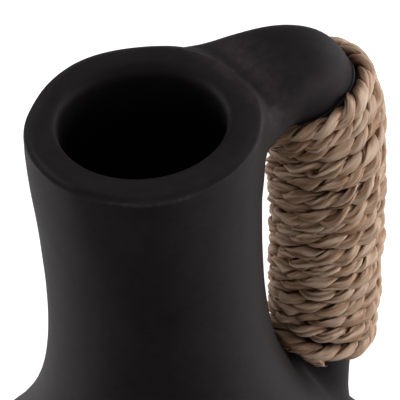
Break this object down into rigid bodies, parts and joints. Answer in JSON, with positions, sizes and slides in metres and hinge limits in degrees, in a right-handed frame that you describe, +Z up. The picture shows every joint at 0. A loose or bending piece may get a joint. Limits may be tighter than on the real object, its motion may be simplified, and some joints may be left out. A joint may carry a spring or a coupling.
{
  "type": "terracotta vase",
  "caption": "Tall black fired-clay vase with a round belly, long waisted neck, thick flat lip and one arched handle bound in plant-fibre cord.",
  "frame": {"origin": "centre of the foot, on the surface that the vase stands on", "axes": "+Z up along the axis of the pot, +X towards the handle"},
  "size_m": [0.248, 0.248, 0.3915],
  "materials": {
    "black_clay": "matte",
    "dark_tape": "matte",
    "plant_cord": "matte"
  },
  "bodies": {
    "root": {"vase_body": "black_clay", "handle": "black_clay", "backing_tape": "dark_tape", "cord_winding": "plant_cord"}
  },
  "joints": []
}
